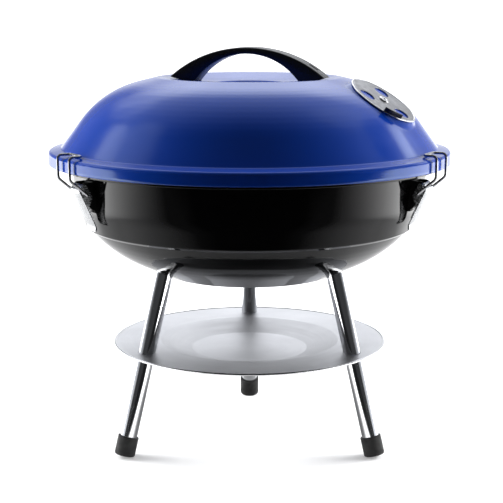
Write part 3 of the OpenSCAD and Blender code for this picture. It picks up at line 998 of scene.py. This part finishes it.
def make_bracket(side):
    """Black bracket riveted to the bowl: a base that follows the wall and two ears for the pivot pin."""
    base = bmesh.new()
    top, foot = RIM_Z - 9.5, RIM_Z - 36
    plate(base, [(LID_R - 26, foot), (LID_R - 22, foot), (LID_R - 18, top), (LID_R - 26, top)], -EAR, EAR)
    bracket = make_object("latch_bracket_" + side + "_plate", base, BLACK_LACQUER_AND_SHADE)
    ear = rounded([
        (LID_R - 24, RIM_Z - 35, 0), (LID_R - 19, RIM_Z - 33, 3), (LID_R - 9.5, RIM_Z - 19, 4),
        (LID_R - 8.2, RIM_Z - 13, 3.4), (LID_R - 12, RIM_Z - 9.7, 2.4), (LID_R - 24, RIM_Z - 9.5, 0),
    ], 14)
    for sign in (-1, 1):
        ears = bmesh.new()
        plate(ears, ear, sign * (EAR - 0.6) - 0.6, sign * (EAR - 0.6) + 0.6)
        cut_with(bracket, make_object("ear", ears, None), "UNION")
    moved(bracket, latch_place(side))
    cut_with(bracket, bowl_skin_cutter(TOUCH_GAP))
    add_bevel(bracket, 0.25, 35)
    applied(bracket)
    for polygon in bracket.data.polygons:
        polygon.use_smooth = True
    place_piece(bracket, "bowl_and_stand", "bracket_black", "latch_bracket_" + side)


# ---------- parts kept as modelled, with their edges rounded ----------

def dress(node, material, width):
    """Gives a CAD node a material and rounded edges."""
    obj = frame["nodes"][node]
    obj.data.materials.clear()
    obj.data.materials.append(material)
    add_bevel(obj, width, 40)


# ---------- stage, in metres ----------

LAMP_AIM = Vector((0, 0, 0.22))
LAMP_HEIGHT = 1.2
CAMERA_WHITE = 1.2
CAMERA_AT = (0, -1.1923, 0.3998)
CAMERA_LENS = 94.78
CAMERA_DOWN = 10.72
CAMERA_SHIFT = 0.004

# Soft patches of the tent: azimuth from straight behind, elevation, outer and inner radius, all in
# degrees, and strength
LIGHT_PATCHES = (
    (0, 35, 21, 6, 1.1), (-24, 35, 13, 4, 0.6), (24, 36, 13, 4, 0.6), (-66, 33, 9, 4, 1.3),
    (54, 26, 7, 2, 2.6), (-82, 45, 13, 5, 0.6), (-38, 38, 12, 5, 0.45), (62, 53, 16, 6, 0.28),
)
DARK_PATCHES = (
    (-35, 17, 29, 14, -0.7), (32, 12, 15, 6, -0.45), (64, 34, 14, 7, -0.5),
)


def make_stage():
    """Paper floor that runs from behind the camera to the horizon."""
    bm = bmesh.new()
    rows = [[Vector((x, y, 0)) for x in (-60.0, 60.0)] for y in (-8.0, 120.0)]
    grid(bm, rows, wrap_columns=False)
    mesh = bpy.data.meshes.new("floor")
    bm.to_mesh(mesh)
    bm.free()
    floor = bpy.data.objects.new("floor", mesh)
    bpy.context.collection.objects.link(floor)
    mesh.materials.append(floor_material())


def softbox(name, at, width, power):
    """Area lamp aimed at the grill's middle and left out of reflections."""
    light = bpy.data.lights.new(name, "AREA")
    light.shape = "RECTANGLE"
    light.size, light.size_y = width, LAMP_HEIGHT
    light.energy = power
    obj = bpy.data.objects.new(name, light)
    obj.location = at
    obj.rotation_euler = (LAMP_AIM - Vector(at)).to_track_quat("-Z", "Y").to_euler()
    obj.visible_glossy = False
    bpy.context.collection.objects.link(obj)


def make_light():
    """White tent, bright behind and overhead, dark on the camera's side, with a low band of light."""
    world = bpy.data.worlds.new("tent")
    bpy.context.scene.world = world
    world.use_nodes = True
    n = Nodes(world.node_tree)
    background = n.tree.nodes["Background"]
    background.inputs["Color"].default_value = (0.93, 0.955, 1, 1)
    direction = n.new("TexCoord").outputs["Generated"]
    x, y, z = n.split(direction)
    total = n.span(y, -0.35, 0.75, 0.05, 1.0, True)
    for azimuth, elevation, outer, inner, strength in LIGHT_PATCHES + DARK_PATCHES:
        around, above = math.radians(azimuth), math.radians(elevation)
        flat = math.cos(above)
        dot = n.new("VectorMath")
        dot.operation = "DOT_PRODUCT"
        n.link(direction, dot.inputs[0])
        dot.inputs[1].default_value = (flat * math.sin(around), flat * math.cos(around), math.sin(above))
        edge, core = math.cos(math.radians(outer)), math.cos(math.radians(inner))
        total = n.math("ADD", total, n.span(dot.outputs["Value"], edge, core, 0.0, strength, True))
    front = n.span(n.math("DIVIDE", y, n.length(x, y)), -0.60, -0.42, 0.0, 1.0, True)
    low_band = n.math("MULTIPLY", n.span(z, 0.0, 0.16, 1.2, 0.0, True), front)
    total = n.math("MAXIMUM", n.math("MAXIMUM", total, low_band), 0.04)
    backdrop = n.math("MULTIPLY", n.new("LightPath").outputs["Is Camera Ray"], CAMERA_WHITE)
    n.link(n.math("MAXIMUM", total, backdrop), background.inputs["Strength"])
    softbox("softbox_left", (-1.5, 0.40, 0.75), 1.0, 50)
    softbox("softbox_right", (1.5, 0.40, 0.75), 1.0, 50)
    softbox("softbox_top", (0, 0.8, 1.7), 2.0, 12)
    scene = bpy.context.scene
    scene.view_settings.view_transform = "Standard"
    scene.view_settings.look = "None"


def make_camera():
    """Long lens just above the grill's height, looking slightly down, as in the photo."""
    camera = bpy.data.cameras.new("camera")
    camera.lens = CAMERA_LENS
    camera.shift_x = CAMERA_SHIFT
    obj = bpy.data.objects.new("camera", camera)
    obj.location = CAMERA_AT
    obj.rotation_euler = (math.radians(90 - CAMERA_DOWN), 0, 0)
    bpy.context.collection.objects.link(obj)
    bpy.context.scene.camera = obj


make_lid()
make_damper("lid_vent_disc", VENT_PLACE, "lid_vent", "vent_zinc", "lid_vent_damper")
make_eyelet("lid_vent_eyelet", VENT_PLACE, "lid", "lid_vent_rivet")
BOWL_VENT_PLACE = Matrix.Translation((0, 0, BOWL_Z)) @ Matrix.Rotation(math.pi, 4, "X")
make_damper("bowl_vent_disc", BOWL_VENT_PLACE, "bowl_vent", "vent_zinc", "bowl_vent_damper")
make_eyelet("bowl_vent_eyelet", BOWL_VENT_PLACE, "bowl_and_stand", "bowl_vent_rivet")
make_handle()
make_bowl()
for leg_name, leg_angle in LEGS.items():
    make_leg("leg_" + leg_name, leg_angle)
    make_foot("foot_cap_" + leg_name, leg_angle)
make_ash_catcher()
make_grate("cooking_grate_rods", "cooking_grate", ROD, "grate_chrome", 2.4, 1.6, 13.0, "cooking_grate")
make_grate(
    "charcoal_grate_rods", "charcoal_grate", COAL_IRON, "coal_grate_steel", 2.8, 2.2, 22.0, "charcoal_grate"
)
for latch_side in SIDES:
    make_bracket(latch_side)
    make_lever(latch_side)
    make_bail(latch_side)
for kept in (
    "lid_handle_screws", "lid_handle_washers", "leg_plugs", "leg_bolts", "leg_washers", "latch_pins",
    "latch_rivets",
):
    dress(kept, PLATED, 0.25)
make_stage()
make_light()
make_camera()
